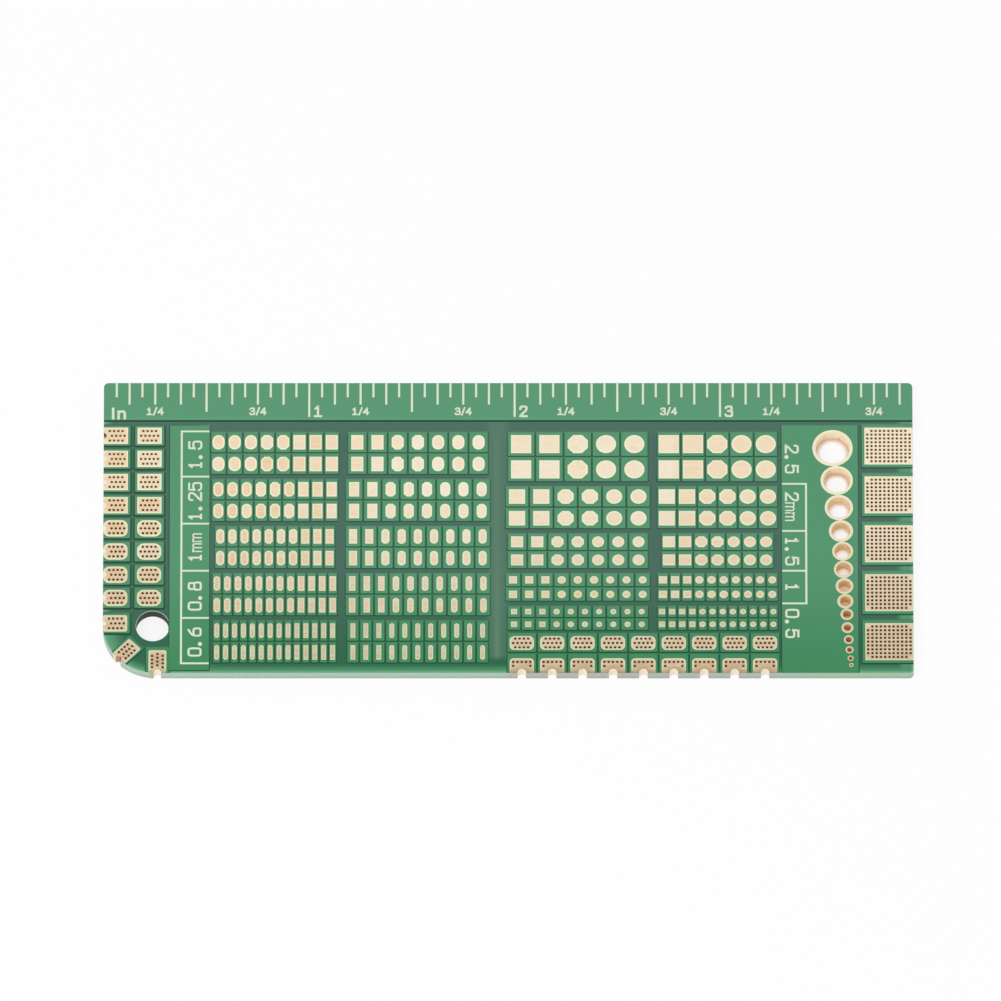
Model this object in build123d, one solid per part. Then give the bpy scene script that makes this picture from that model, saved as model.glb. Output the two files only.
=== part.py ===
from build123d import *
from math import sqrt
import os

# Soldering practice board: a bare circuit board with rows of soldering pads in many
# sizes, a chain of plated holes, pierced pads, castellated edge pads and an inch scale.
#
# Frame: +X runs along the scale, +Y points to the scale's edge, +Z is up. The origin is
# at the middle of the underside. "Near" is the long edge opposite the scale.
# All sizes are in millimetres.

# ---------------------------------------------------------------- driving dimensions

# Board
BOARD_LENGTH = 100.0
BOARD_WIDTH = 40.0
FINISHED_THICKNESS = 1.6        # over the copper of both faces
COPPER_THICKNESS = 0.035        # foil on the faces and plating in the holes
INK_THICKNESS = 0.02
LARGE_CORNER_RADIUS = 6.6       # left near corner
SMALL_CORNER_RADIUS = 0.6       # the other three corners
EDGE_MARGIN = 0.6               # least distance from a row or a hole's land to the near edge

# Mounting hole, not plated
MOUNTING_HOLE_DIAMETER = 4.1
MOUNTING_HOLE_FROM_LEFT = 6.15
MOUNTING_HOLE_FROM_NEAR = 6.45
MOUNTING_HOLE_CLEARANCE = 0.4   # kept free of pads round the hole

# Inch scale
INCH = 25.4
STROKES_PER_INCH = 16
STROKE_WIDTH = 0.3
INCH_STROKE = 4.7
HALF_INCH_STROKE = 4.0
QUARTER_INCH_STROKE = 3.0
EIGHTH_INCH_STROKE = 3.0
SIXTEENTH_INCH_STROKE = 2.0
SCALE_END_MARGIN = 0.9          # no stroke nearer to the board's right end than this

# Pad fields: four blocks side by side, each with five sizes of pads in pairs of rows
FIELD_FROM_SCALE_EDGE = 6.7
FIELD_FROM_LEFT = 13.2
FIELD_FROM_RIGHT = 16.65
BLOCK_PROPORTIONS = (16.0, 18.0, 18.0, 15.0)
BLOCK_GAPS = (0.65, 1.75, 0.75)
ROWS_PER_SIZE = 2
ROW_SPACE = 1.0                 # between two rows of a size
SIZE_SPACE = 0.5                # more than that between two sizes
CLOSE_SPACE = 0.5               # between the columns of a close block
WIDE_SPACE = 1.0                # between the columns of a wide block
OBLONG_LENGTH = 2.0
OBLONG_WIDTHS = (1.5, 1.25, 1.0, 0.8, 0.6)
DOT_SIZES = (2.5, 2.0, 1.5, 1.0, 0.75)
OCTAGON_CUT = 0.29              # corner cut of an octagonal pad, as a share of its width
# A row starts with rectangular pads and ends with rounded ones, with octagonal pads
# between them. Each pair is the share of the row where the first stop and the last start.
SHAPE_SHARES = (0.33, 0.64)
WIDE_OBLONG_SHAPE_SHARES = (0.27, 0.60)

# Chain of plated holes: finished bore and land diameter of each, from the scale side
PLATED_HOLES = (
    (4.2, 5.0), (3.3, 4.0), (2.8, 3.5), (2.3, 3.0), (2.0, 2.6), (1.8, 2.4), (1.5, 2.2),
    (1.3, 2.0), (1.0, 1.6), (0.9, 1.5), (0.75, 1.2), (0.6, 1.0), (0.45, 0.75), (0.25, 0.55),
)
TOUCHING_LANDS = 9              # so many lands touch each other, from the largest on
LOOSE_LAND_SPACE = 0.3          # between the lands that don't touch
CHAIN_FROM_SCALE_EDGE = 6.5
CHAIN_FROM_RIGHT = 7.4          # the lands line up on this side

# Pierced and castellated pads along the left end
END_PAD_LENGTH = 3.0            # along the board
END_PAD_WIDTH = 2.25
END_PAD_PITCH = 3.2
END_PADS_FROM_SCALE_EDGE = 7.3  # middle of the first row
END_SQUARE_ROWS = 4             # so many rows have square corners, the rest are rounded
END_PAD_CUT = 0.6               # corner of the rounded ones
INNER_PADS_FROM_LEFT = 4.18
LOWEST_END_PAD_FROM_NEAR = 6.8
END_NOTCH_DIAMETER = 0.8

# Castellated pads at the large corner
CORNER_PAD_LENGTH = 2.9
CORNER_PAD_WIDTH = 2.05
FOOT_PAD_FROM_LEFT = 6.75
FOOT_PAD_LENGTH = 3.1
FOOT_PAD_WIDTH = 2.2
FOOT_NOTCH_DIAMETER = 1.0

# Two rows along the near edge: pierced pads, and castellated ones at the edge
NEAR_PAD_LENGTH = 3.0           # along the board
NEAR_PAD_PITCH = 3.75
NEAR_PADS_FROM_RIGHT = 16.45    # right side of the last pad's cell
PIERCED_ROW_WIDTH = 1.9
PIERCED_ROW_FROM_NEAR = 4.1     # middle of the pierced row
NEAR_PAD_CUT = 0.6
EDGE_ROW_WIDTH = 2.0            # from the near edge
NEAR_NOTCH_DIAMETER = 1.15

# Large pierced pads along the right end
LARGE_PAD_LENGTH = 5.95
LARGE_PAD_WIDTH = 5.1
LARGE_PAD_PITCH = 6.75
LARGE_PADS_FROM_SCALE_EDGE = 8.72
LARGE_PADS_NEAR_MARGIN = 1.5

# Printed frames beside the pad fields
LINE_WIDTH = 0.3
LEFT_FRAME_FROM_LEFT = 9.65     # middle of its long line
LEFT_FRAME_REACH = 3.45         # from that line towards the pads
RIGHT_FRAME_FROM_RIGHT = 13.2
RIGHT_FRAME_REACH = 3.0

# Plated and printed rounds repeat so often that they have few sides, with their corners
# on the true circle: sixteen for the widest, then twelve, then eight.
SIXTEEN_SIDES_FROM = 2.75
TWELVE_SIDES_FROM = 1.6
POINTED_UP_TO = 0.7             # rounded oblong pads this narrow have two sides at each end

# ---------------------------------------------------------------- worked out from them

LEFT_END = -BOARD_LENGTH / 2
RIGHT_END = BOARD_LENGTH / 2
SCALE_EDGE = BOARD_WIDTH / 2
NEAR_EDGE = -BOARD_WIDTH / 2
SHEET_THICKNESS = FINISHED_THICKNESS - 2 * COPPER_THICKNESS
SHEET_BOTTOM = COPPER_THICKNESS
SHEET_TOP = SHEET_BOTTOM + SHEET_THICKNESS
SMALLEST = 1e-6                 # keeps a count whole where a size divides evenly


def at(x, y):
    """A place on the face, as an offset for a flat outline."""
    return Pos(x, y, 0)


def slab(outline, bottom, thickness):
    """The solids of a flat outline given a thickness, standing at a height."""
    return (Pos(0, 0, bottom) * extrude(outline, thickness)).solids()


def write(name, solids):
    """One STEP file for a sub-part, which may be a group of like solids."""
    shape = solids[0] if len(solids) == 1 else Compound(children=list(solids))
    export_step(shape, f"parts/{name}.step")
    print(f"{name}: {len(solids)} solid(s)")


# ---------------------------------------------------------------- outlines


def sides_of(diameter):
    """How many sides stand for a round of this size."""
    if diameter >= SIXTEEN_SIDES_FROM:
        return 16
    return 12 if diameter >= TWELVE_SIDES_FROM else 8


def round_outline(diameter, sides):
    """A few-sided round with corners on both axes."""
    return RegularPolygon(diameter / 2, sides)


def cut_corner_outline(length, width, cut_along, cut_across):
    """A rectangle with its four corners cut: an octagonal pad."""
    x, y = length / 2, width / 2
    quarter = [(x, y - cut_across), (x - cut_along, y)]
    half = quarter + [(-px, py) for px, py in reversed(quarter)]
    return make_face(Polyline(*half, *[(-px, -py) for px, py in half], close=True))


def octagon_outline(width, length):
    """An octagonal pad: equal cuts at the corners."""
    cut = OCTAGON_CUT * width
    return cut_corner_outline(width, length, cut, cut)


def rounded_outline(width, length):
    """A fully rounded pad: a disc, or two half rounds with straight sides between them."""
    if length - width < SMALLEST:
        return round_outline(width, sides_of(width))
    radius = width / 2
    if width <= POINTED_UP_TO:  # corners of each half round at 0, 90 and 180 degrees
        side, end = (radius, length / 2 - radius), (0, length / 2)
        return make_face(Polyline(side, end, (-side[0], side[1]), (-side[0], -side[1]),
                                  (0, -length / 2), (side[0], -side[1]), close=True))
    # corners of each half round at 0, 60, 120 and 180 degrees
    return cut_corner_outline(width, length, radius / 2, radius * sqrt(3) / 2)


def board_outline():
    """The sheet's outline with its four corners."""
    sheet = Rectangle(BOARD_LENGTH, BOARD_WIDTH)
    corners = sheet.vertices().sort_by(lambda v: v.X + v.Y)
    sheet = fillet(corners[0], LARGE_CORNER_RADIUS)
    small = [v for v in sheet.vertices() if abs(v.X) + abs(v.Y) > RIGHT_END + SCALE_EDGE - SMALLEST]
    return fillet(small, SMALL_CORNER_RADIUS)


OUTLINE = board_outline()

# ---------------------------------------------------------------- plated features


def plated(land, bore, drilled):
    """Copper that lines a drilled hole or notch and turns out onto both faces as a land."""
    face = land - bore
    sleeve = (drilled - bore) & OUTLINE
    lower = extrude(face, COPPER_THICKNESS)
    upper = Pos(0, 0, SHEET_TOP) * extrude(face, COPPER_THICKNESS)
    return (lower + upper + extrude(sleeve, FINISHED_THICKNESS)).solids()


def notch(x, y, diameter, turn=0):
    """Bore and drilled outline of a plated half-round notch centred on the board's edge."""
    sides = sides_of(diameter)
    place = at(x, y) * Rot(0, 0, turn)
    bore = place * round_outline(diameter - 2 * COPPER_THICKNESS, sides)
    return bore, place * round_outline(diameter, sides)


def hole_places():
    """Middle of each plated hole. Lands line up on the right; touching ones are tangent."""
    places = []
    line = RIGHT_END - CHAIN_FROM_RIGHT
    for i, (bore, land) in enumerate(PLATED_HOLES):
        if not places:
            y = SCALE_EDGE - CHAIN_FROM_SCALE_EDGE - land / 2
        else:
            last = PLATED_HOLES[i - 1][1]
            space = 0 if i < TOUCHING_LANDS else LOOSE_LAND_SPACE
            y -= sqrt(((land + last) / 2 + space) ** 2 - ((last - land) / 2) ** 2)
        if y - land / 2 < NEAR_EDGE + EDGE_MARGIN:
            break
        places.append((line - land / 2, y))
    return places


# ---------------------------------------------------------------- rows of pads


def shape_in_row(column, count, shares):
    """Shape of one pad, by how far along the row its middle lies."""
    share = (column + 0.5) / count
    if share < shares[0]:
        return "rectangular"
    return "octagonal" if share < shares[1] else "rounded"


def pad_solid(shape, width, length, x, y):
    """One pad standing on the top face."""
    if shape == "rectangular":
        outline = Rectangle(width, length)
    elif shape == "octagonal":
        outline = octagon_outline(width, length)
    else:
        outline = rounded_outline(width, length)
    return slab(at(x, y) * outline, SHEET_TOP, COPPER_THICKNESS)


def row_tops(lengths):
    """Distance of each size's first cell from the scale edge, with the end of the last."""
    tops = [FIELD_FROM_SCALE_EDGE]
    for length in lengths:
        tops.append(tops[-1] + ROWS_PER_SIZE * (length + ROW_SPACE) + SIZE_SPACE)
    return tops


def blocks():
    """Left side and width of each of the four blocks, which share the field's length."""
    field = BOARD_LENGTH - FIELD_FROM_LEFT - FIELD_FROM_RIGHT - sum(BLOCK_GAPS)
    scale = field / sum(BLOCK_PROPORTIONS)
    left = LEFT_END + FIELD_FROM_LEFT
    places = []
    for proportion, gap in zip(BLOCK_PROPORTIONS, BLOCK_GAPS + (0,)):
        places.append((left, proportion * scale))
        left += proportion * scale + gap
    return places


def write_block(name, block, widths, lengths, space, lowest, shares=SHAPE_SHARES, turned=False):
    """Five sizes of pads in one block, each size a group of pads in its own file. A turned
    block has its rounded pads first."""
    left, block_width = block
    for i, (width, length) in enumerate(zip(widths, lengths)):
        pitch = width + space
        count = int(block_width / pitch + SMALLEST)
        shapes = [shape_in_row(column, count, shares) for column in range(count)]
        if turned:
            shapes.reverse()
        pads = []
        for row in range(ROWS_PER_SIZE):
            y = SCALE_EDGE - row_tops(lengths)[i] - (row + 0.5) * (length + ROW_SPACE)
            if y - length / 2 < lowest:
                break
            for column, shape in enumerate(shapes):
                x = left + block_width / 2 + (column - (count - 1) / 2) * pitch
                pads += pad_solid(shape, width, length, x, y)
        if pads:
            write(f"{name}_{i + 1}", pads)


# ---------------------------------------------------------------- sub-parts

os.makedirs("parts", exist_ok=True)

# Left end: rows of pads, pierced inside and castellated at the edge
end_rows = []
y = SCALE_EDGE - END_PADS_FROM_SCALE_EDGE
lowest_end_pad = NEAR_EDGE + LOWEST_END_PAD_FROM_NEAR
while y > lowest_end_pad + END_PAD_PITCH - SMALLEST:
    end_rows.append(y)
    y -= END_PAD_PITCH
hole_top = NEAR_EDGE + MOUNTING_HOLE_FROM_NEAR + MOUNTING_HOLE_DIAMETER / 2 + MOUNTING_HOLE_CLEARANCE
inner_rows = [row for row in end_rows if row - END_PAD_WIDTH / 2 > hole_top]


def end_outline(row):
    """Outline of a pad of the left end, square or with cut corners, centred on the origin.
    The lowest row, beside the mounting hole, is square again."""
    if row < END_SQUARE_ROWS or row == len(end_rows):
        return Rectangle(END_PAD_LENGTH, END_PAD_WIDTH)
    return cut_corner_outline(END_PAD_LENGTH, END_PAD_WIDTH, END_PAD_CUT, END_PAD_CUT)


inner_x = LEFT_END + INNER_PADS_FROM_LEFT + END_PAD_LENGTH / 2
inner_pads = []
for i, y in enumerate(inner_rows):
    inner_pads += slab(at(inner_x, y) * end_outline(i), SHEET_TOP, COPPER_THICKNESS)
write("perforated_pads_left", inner_pads)

notches = []                    # drilled outlines, cut from the sheet further down
left_pads = []
for i, y in enumerate(end_rows + [lowest_end_pad]):
    land = at(LEFT_END + END_PAD_LENGTH / 2, y) * end_outline(i) & OUTLINE
    bore, drilled = notch(LEFT_END, y, END_NOTCH_DIAMETER)
    left_pads += plated(land, bore, drilled)
    notches.append(drilled)
write("edge_pads_left", left_pads)

# Large corner: one pad on the diagonal and one at its foot
corner_middle = (LEFT_END + LARGE_CORNER_RADIUS, NEAR_EDGE + LARGE_CORNER_RADIUS)
corner_x = corner_middle[0] - LARGE_CORNER_RADIUS / sqrt(2)
corner_y = corner_middle[1] - LARGE_CORNER_RADIUS / sqrt(2)
land = at(corner_x, corner_y) * Rot(0, 0, 45) * Rectangle(2 * CORNER_PAD_LENGTH, CORNER_PAD_WIDTH)
bore, drilled = notch(corner_x, corner_y, END_NOTCH_DIAMETER, 45)
write("edge_pad_corner", plated(land & OUTLINE, bore, drilled))
notches.append(drilled)

foot_x = LEFT_END + FOOT_PAD_FROM_LEFT
land = at(foot_x, NEAR_EDGE) * Rectangle(FOOT_PAD_WIDTH, 2 * FOOT_PAD_LENGTH)
bore, drilled = notch(foot_x, NEAR_EDGE, FOOT_NOTCH_DIAMETER)
write("edge_pad_foot", plated(land & OUTLINE, bore, drilled))
notches.append(drilled)

# Near edge: a pierced row and a castellated row under the right-hand blocks


def near_outline(width):
    """Outline of a pad of the near edge, with cut corners, centred on the origin."""
    return cut_corner_outline(NEAR_PAD_LENGTH, width, NEAR_PAD_CUT, NEAR_PAD_CUT)


block_places = blocks()
near_right = RIGHT_END - NEAR_PADS_FROM_RIGHT
near_count = int((near_right - block_places[2][0]) / NEAR_PAD_PITCH + SMALLEST)
pierced_y = NEAR_EDGE + PIERCED_ROW_FROM_NEAR
pierced = []
near_pads = []
for i in range(near_count):
    x = near_right - (i + 0.5) * NEAR_PAD_PITCH
    pierced += slab(at(x, pierced_y) * near_outline(PIERCED_ROW_WIDTH), SHEET_TOP, COPPER_THICKNESS)
    land = at(x, NEAR_EDGE) * near_outline(2 * EDGE_ROW_WIDTH) & OUTLINE
    bore, drilled = notch(x, NEAR_EDGE, NEAR_NOTCH_DIAMETER)
    near_pads += plated(land, bore, drilled)
    notches.append(drilled)
write("perforated_pads_bottom", pierced)
write("edge_pads_bottom", near_pads)

# Right end: large pierced pads
large_pads = []
y = SCALE_EDGE - LARGE_PADS_FROM_SCALE_EDGE
while y - LARGE_PAD_WIDTH / 2 > NEAR_EDGE + LARGE_PADS_NEAR_MARGIN:
    outline = at(RIGHT_END - LARGE_PAD_LENGTH / 2, y) * Rectangle(LARGE_PAD_LENGTH, LARGE_PAD_WIDTH)
    large_pads += slab(outline, SHEET_TOP, COPPER_THICKNESS)
    y -= LARGE_PAD_PITCH
write("perforated_pads_right", large_pads)

# Chain of plated holes
holes = []
for i, (x, y) in enumerate(hole_places()):
    bore_diameter, land_diameter = PLATED_HOLES[i]
    sides = sides_of(bore_diameter)
    land = at(x, y) * round_outline(land_diameter, sides)
    bore = at(x, y) * round_outline(bore_diameter, sides)
    drilled = at(x, y) * round_outline(bore_diameter + 2 * COPPER_THICKNESS, sides)
    write(f"plated_hole_{i + 1:02d}", plated(land, bore, drilled))
    holes.append(drilled)

# Fields of pads
near_limit = NEAR_EDGE + EDGE_MARGIN
dot_limit = pierced_y + PIERCED_ROW_WIDTH / 2 + CLOSE_SPACE
oblong_lengths = [OBLONG_LENGTH] * len(OBLONG_WIDTHS)
write_block("oblong_pads_close", block_places[0], OBLONG_WIDTHS, oblong_lengths, CLOSE_SPACE,
            near_limit, turned=True)
write_block("oblong_pads_wide", block_places[1], OBLONG_WIDTHS, oblong_lengths, WIDE_SPACE,
            near_limit, WIDE_OBLONG_SHAPE_SHARES)
write_block("dot_pads_wide", block_places[2], DOT_SIZES, DOT_SIZES, WIDE_SPACE, dot_limit)
write_block("dot_pads_close", block_places[3], DOT_SIZES, DOT_SIZES, CLOSE_SPACE, dot_limit)

# Printed inch scale
strokes = []
stroke_pitch = INCH / STROKES_PER_INCH
stroke_lengths = ((8, EIGHTH_INCH_STROKE), (4, QUARTER_INCH_STROKE), (2, HALF_INCH_STROKE),
                  (1, INCH_STROKE))    # parts of an inch, and the stroke at each of them
for n in range(1, int((BOARD_LENGTH - SCALE_END_MARGIN) / stroke_pitch) + 1):
    length = SIXTEENTH_INCH_STROKE
    for parts, longer in stroke_lengths:
        if n * parts % STROKES_PER_INCH == 0:
            length = longer
    x = LEFT_END + n * stroke_pitch
    outline = at(x, SCALE_EDGE - length / 2) * Rectangle(STROKE_WIDTH, length)
    strokes += slab(outline, SHEET_TOP, INK_THICKNESS)
write("ruler_scale", strokes)


def frame_lines(x, direction, reach, lines):
    """A long line with a short one towards the pads at each boundary between two sizes."""
    middle = (lines[0] + lines[-1]) / 2
    outline = at(x, middle) * Rectangle(LINE_WIDTH, lines[0] - lines[-1] + LINE_WIDTH)
    for y in lines:
        outline += at(x + direction * reach / 2, y) * Rectangle(reach, LINE_WIDTH)
    return slab(outline, SHEET_TOP, INK_THICKNESS)


left_tops = row_tops(oblong_lengths)
left_lines = [SCALE_EDGE - left_tops[0]]
left_lines += [SCALE_EDGE - top + SIZE_SPACE / 2 for top in left_tops[1:-1]]
left_lines += [SCALE_EDGE - left_tops[-1] + SIZE_SPACE]
left_lines = [y for y in left_lines if y > near_limit]
left_frame_x = LEFT_END + LEFT_FRAME_FROM_LEFT
write("label_frame_left", frame_lines(left_frame_x, 1, LEFT_FRAME_REACH, left_lines))

right_lines = [SCALE_EDGE - top + SIZE_SPACE / 2 for top in row_tops(DOT_SIZES)[1:-1]]
right_frame_x = RIGHT_END - RIGHT_FRAME_FROM_RIGHT
write("label_frame_right", frame_lines(right_frame_x, -1, RIGHT_FRAME_REACH, right_lines))

# The sheet itself, drilled for everything above
mounting = at(LEFT_END + MOUNTING_HOLE_FROM_LEFT, NEAR_EDGE + MOUNTING_HOLE_FROM_NEAR)
sheet = OUTLINE - mounting * Circle(MOUNTING_HOLE_DIAMETER / 2)
for drilled in notches + holes:
    sheet -= drilled
write("board", slab(sheet, SHEET_BOTTOM, SHEET_THICKNESS))
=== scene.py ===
# %% [markdown]
# # A board for practising soldering
#
# The object is a bare circuit board: a sheet of glass fibre, copper on it, a green coat
# called solder resist over most of the copper, and gold-plated pads where the coat is
# left open. This script starts from the measured model of the board and gives every
# part its finish. Each step is short, so it can be run and looked at by itself.

# %% The measured model
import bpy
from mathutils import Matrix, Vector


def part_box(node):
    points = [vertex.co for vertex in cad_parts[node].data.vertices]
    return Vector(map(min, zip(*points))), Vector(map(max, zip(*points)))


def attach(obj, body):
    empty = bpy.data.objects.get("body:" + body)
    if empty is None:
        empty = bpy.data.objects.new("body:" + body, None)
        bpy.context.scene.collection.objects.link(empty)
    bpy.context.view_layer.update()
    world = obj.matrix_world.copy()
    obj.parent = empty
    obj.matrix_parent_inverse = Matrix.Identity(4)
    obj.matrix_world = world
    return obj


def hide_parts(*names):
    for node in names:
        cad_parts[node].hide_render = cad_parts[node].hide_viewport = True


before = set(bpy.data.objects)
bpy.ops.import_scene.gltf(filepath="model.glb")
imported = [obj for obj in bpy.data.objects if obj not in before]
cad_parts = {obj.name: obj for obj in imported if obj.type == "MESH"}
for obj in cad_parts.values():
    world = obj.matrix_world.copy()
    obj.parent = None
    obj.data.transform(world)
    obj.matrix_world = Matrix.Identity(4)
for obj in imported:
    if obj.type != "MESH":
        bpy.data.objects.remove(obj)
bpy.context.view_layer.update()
print("measured pieces:", len(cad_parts))

# %% [markdown]
# The measured model is in metres, with X along the inch scale and Z up. A circuit board
# is described in millimetres, so one name, `MM`, turns those into metres. The heights
# below are real ones: the coat lies a little higher where there is copper under it.

# %% Places and heights
import math
import random
from functools import partial

import bmesh
import bpy
from mathutils import Matrix, Vector

MM = 0.001
WELD = 0.00001 * MM
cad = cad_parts
board_low, board_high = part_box("board")
LEFT, NEAR, SHEET_BOTTOM = board_low
RIGHT, SCALE_EDGE, SHEET_TOP = board_high
PAD_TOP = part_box("dot_pads_wide_1")[1].z
COAT_ON_COPPER = SHEET_TOP + 0.005 * MM
COAT_ON_SHEET = SHEET_TOP - 0.020 * MM
UNDER_COAT = SHEET_BOTTOM - 0.005 * MM
print("board is", round((RIGHT - LEFT) / MM, 2), "by", round((SCALE_EDGE - NEAR) / MM, 2), "mm")

# %% [markdown]
# Materials come first, because each piece is given its finish as it is made. A finish is
# a small network of nodes. Two helpers keep that readable: `Value` lets ordinary sums add
# Math nodes, and `Finish` makes every other node with one method.

# %% Sums that add Math nodes
def maths(operation, turned=False):
    """A method of Value that adds one Math node."""
    def add_node(self, other=0.0):
        inputs = {0: other, 1: self} if turned else {0: self, 1: other}
        node = self.finish.node("ShaderNodeMath", inputs, operation=operation)
        return Value(self.finish, node.outputs[0])
    return add_node


class Value:
    """A number that changes over a surface."""

    def __init__(self, finish, socket):
        self.finish = finish
        self.socket = socket

    __add__ = __radd__ = maths("ADD")
    __sub__ = maths("SUBTRACT")
    __rsub__ = maths("SUBTRACT", turned=True)
    __mul__ = __rmul__ = maths("MULTIPLY")
    smaller = maths("MINIMUM")
    larger = maths("MAXIMUM")
    root = maths("SQRT")
    sine = maths("SINE")
    # Goes up from 0 to a width and back down, again and again.
    folded = maths("PINGPONG")

    def rise(self, start, end):
        """Goes smoothly from 0 at start to 1 at end."""
        inputs = {"Value": self, "From Min": start, "From Max": end}
        node = self.finish.node("ShaderNodeMapRange", inputs, interpolation_type="SMOOTHSTEP")
        return Value(self.finish, node.outputs[0])

    def fall(self, start, end):
        """Goes smoothly from 1 at start to 0 at end."""
        return 1 - self.rise(start, end)

    def between(self, rise_start, rise_end, fall_start, fall_end):
        """Is 1 between two places, with a soft start and a soft end."""
        return self.rise(rise_start, rise_end) * self.fall(fall_start, fall_end)


# %% One method for every other node
def paint(red, green, blue):
    """A colour as it is seen, from 0 to 255, made into the linear colour that a shader takes."""
    shares = [part / 255 for part in (red, green, blue)]
    linear = [s / 12.92 if s <= 0.04045 else ((s + 0.055) / 1.055) ** 2.4 for s in shares]
    return (*linear, 1.0)


class Finish:
    """A material, the nodes in it and its Principled shader."""

    def __init__(self, name, roughness, colour, metallic=0.0):
        self.material = bpy.data.materials.new(name)
        self.material.use_nodes = True
        self.tree = self.material.node_tree
        self.shader = self.tree.nodes["Principled BSDF"]
        self.shader.inputs["Roughness"].default_value = roughness
        self.shader.inputs["Metallic"].default_value = metallic
        self.coordinates = self.node("ShaderNodeTexCoord")
        self.colour = colour

    def node(self, kind, inputs=None, **settings):
        made = self.tree.nodes.new(kind)
        for setting, value in settings.items():
            setattr(made, setting, value)
        for socket, value in (inputs or {}).items():
            self.join(value, made.inputs[socket])
        return made

    def join(self, value, socket):
        """Links a value or a socket to an input, or sets a plain number on it."""
        if isinstance(value, Value):
            value = value.socket
        if isinstance(value, bpy.types.NodeSocket):
            self.tree.links.new(value, socket)
        else:
            socket.default_value = value

    def feed(self, socket, value):
        self.join(value, self.shader.inputs[socket])

    def mix(self, share, first, second):
        """A colour between two others, each a painted one or another mix."""
        first, second = (paint(*c) if isinstance(c, tuple) else c for c in (first, second))
        inputs = {"Factor": share, 6: first, 7: second}
        return self.node("ShaderNodeMix", inputs, data_type="RGBA").outputs[2]

    def layer(self, share, *colour):
        """Mixes a painted colour or another mix into the colour made so far."""
        self.colour = self.mix(share, self.colour, colour if len(colour) == 3 else colour[0])

    def done(self):
        """The material, with the colour that its layers have made."""
        self.feed("Base Color", self.colour)
        return self.material

    def place(self):
        """X, Y and Z on the board, in millimetres."""
        scaled = self.node("ShaderNodeVectorMath",
                           {0: self.coordinates.outputs["Object"], "Scale": 1 / MM}, operation="SCALE")
        parts = self.node("ShaderNodeSeparateXYZ", {0: scaled.outputs[0]})
        return [Value(self, part) for part in parts.outputs]

    def noise(self, along, across, upright=None, detail=2.0):
        """Noise from 0 to 1, with so many spots to a millimetre along, across and up the board."""
        upright = across if upright is None else upright
        scale = (along / MM, across / MM, upright / MM)
        mapped = self.node("ShaderNodeMapping",
                           {"Vector": self.coordinates.outputs["Object"], "Scale": scale})
        texture = self.node("ShaderNodeTexNoise",
                            {"Vector": mapped.outputs[0], "Scale": 1.0, "Detail": detail})
        return Value(self, texture.outputs["Fac"])

    def mark(self, name):
        """A value that was written on the points of a mesh."""
        node = self.node("ShaderNodeAttribute", attribute_name=name)
        return Value(self, node.outputs["Fac"])

    def bump(self, height, depth):
        """Relief from a height from 0 to 1, so many metres deep."""
        node = self.node("ShaderNodeBump", {"Height": height, "Distance": depth, "Strength": 1.0})
        self.feed("Normal", node.outputs["Normal"])


# %% [markdown]
# ## Green solder resist
#
# The coat is a clear green lacquer, so what lies under it decides its colour. Over copper
# it is bright, over the bare sheet it is dark and a little grey. Light that enters the
# sheet through its cut edges would make the coat glow there, and that glow is painted into
# its colour. The glow is worked out from the distance to the board's outline, whose left
# near corner is a large round. Painted shade makes the coat darker towards the near edge.

# %% How far it is to the board's edge
LARGE_ROUND = 6.6
left_mm, near_mm, right_mm, scale_mm = (round(v / MM, 3) for v in (LEFT, NEAR, RIGHT, SCALE_EDGE))


def edge_distance(x, y):
    """Millimetres from a place to the board's outline."""
    from_left = x - left_mm
    from_near = y - near_mm
    corner_x = (LARGE_ROUND - from_left).larger(0.0)
    corner_y = (LARGE_ROUND - from_near).larger(0.0)
    to_round = LARGE_ROUND - (corner_x * corner_x + corner_y * corner_y).root()
    return to_round.smaller(right_mm - x).smaller(scale_mm - y)


# %% [markdown]
# The cloth of the glass fibre gives the coat a very fine weave. Two sines, one along and
# one across, give its relief, and it tints the coat a little where no copper hides it.

# %% The coat over the bare sheet and over copper
WEAVE_PITCH = 0.45
WEAVE_DEPTH = 0.0015 * MM


def weave(x, y):
    """The cloth's threads, from 0 to 1."""
    turn = 2 * math.pi / WEAVE_PITCH
    return (x * turn).sine() * (y * turn).sine() * 0.5 + 0.5


def lacquer(name, roughness, colour):
    """A green coat with a weak shine, and X and Y on it."""
    coat = Finish(name, roughness, colour)
    coat.feed("Specular IOR Level", 0.25)
    return coat, *coat.place()[:2]


coat, x, y = lacquer("resist_over_sheet", 0.32, (34, 98, 66))
# Painted shade: the coat over the bare sheet is darker towards the near edge.
away = y.rise(near_mm + 0.5, -4.0)
coat.layer(away, 70, 105, 92)
coat.layer(y.rise(12.0, 14.0), 70, 111, 95)
above_near_edge = y.rise(-18.4, -17.4)
centre = x.between(-3.0, -1.9, -0.9, 0.6) * above_near_edge
coat.layer(centre * 0.6, 90, 130, 106)
coat.layer(weave(x, y) * 0.1, 88, 135, 110)
seam = x.between(-1.9, -1.45, -1.3, -0.85) * above_near_edge * y.fall(11.0, 13.5)
coat.layer(seam * (0.7 - away * 0.35), 100, 136, 110)
# Painted glow: the coat is lighter near the board's outline, wider at the large round and along the right
# edge.
at_round = x.fall(-47.6, -46.2) * y.fall(-13.4, -12.0)
from_edge = edge_distance(x, y)
glow = from_edge.fall(-0.1, 1.4 + at_round * 1.3)
glow = glow.larger(x.rise(right_mm - 2.2, right_mm - 1.2) * 0.75)
coat.layer(glow, coat.mix(y.rise(near_mm + 0.5, near_mm + 3.0), (82, 156, 110), (90, 160, 118)))
coat.layer(from_edge.fall(0.05, 0.4) * 0.6, 128, 182, 142)
coat.bump(weave(x, y), WEAVE_DEPTH)
RESIST_SHEET = coat.done()

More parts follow.
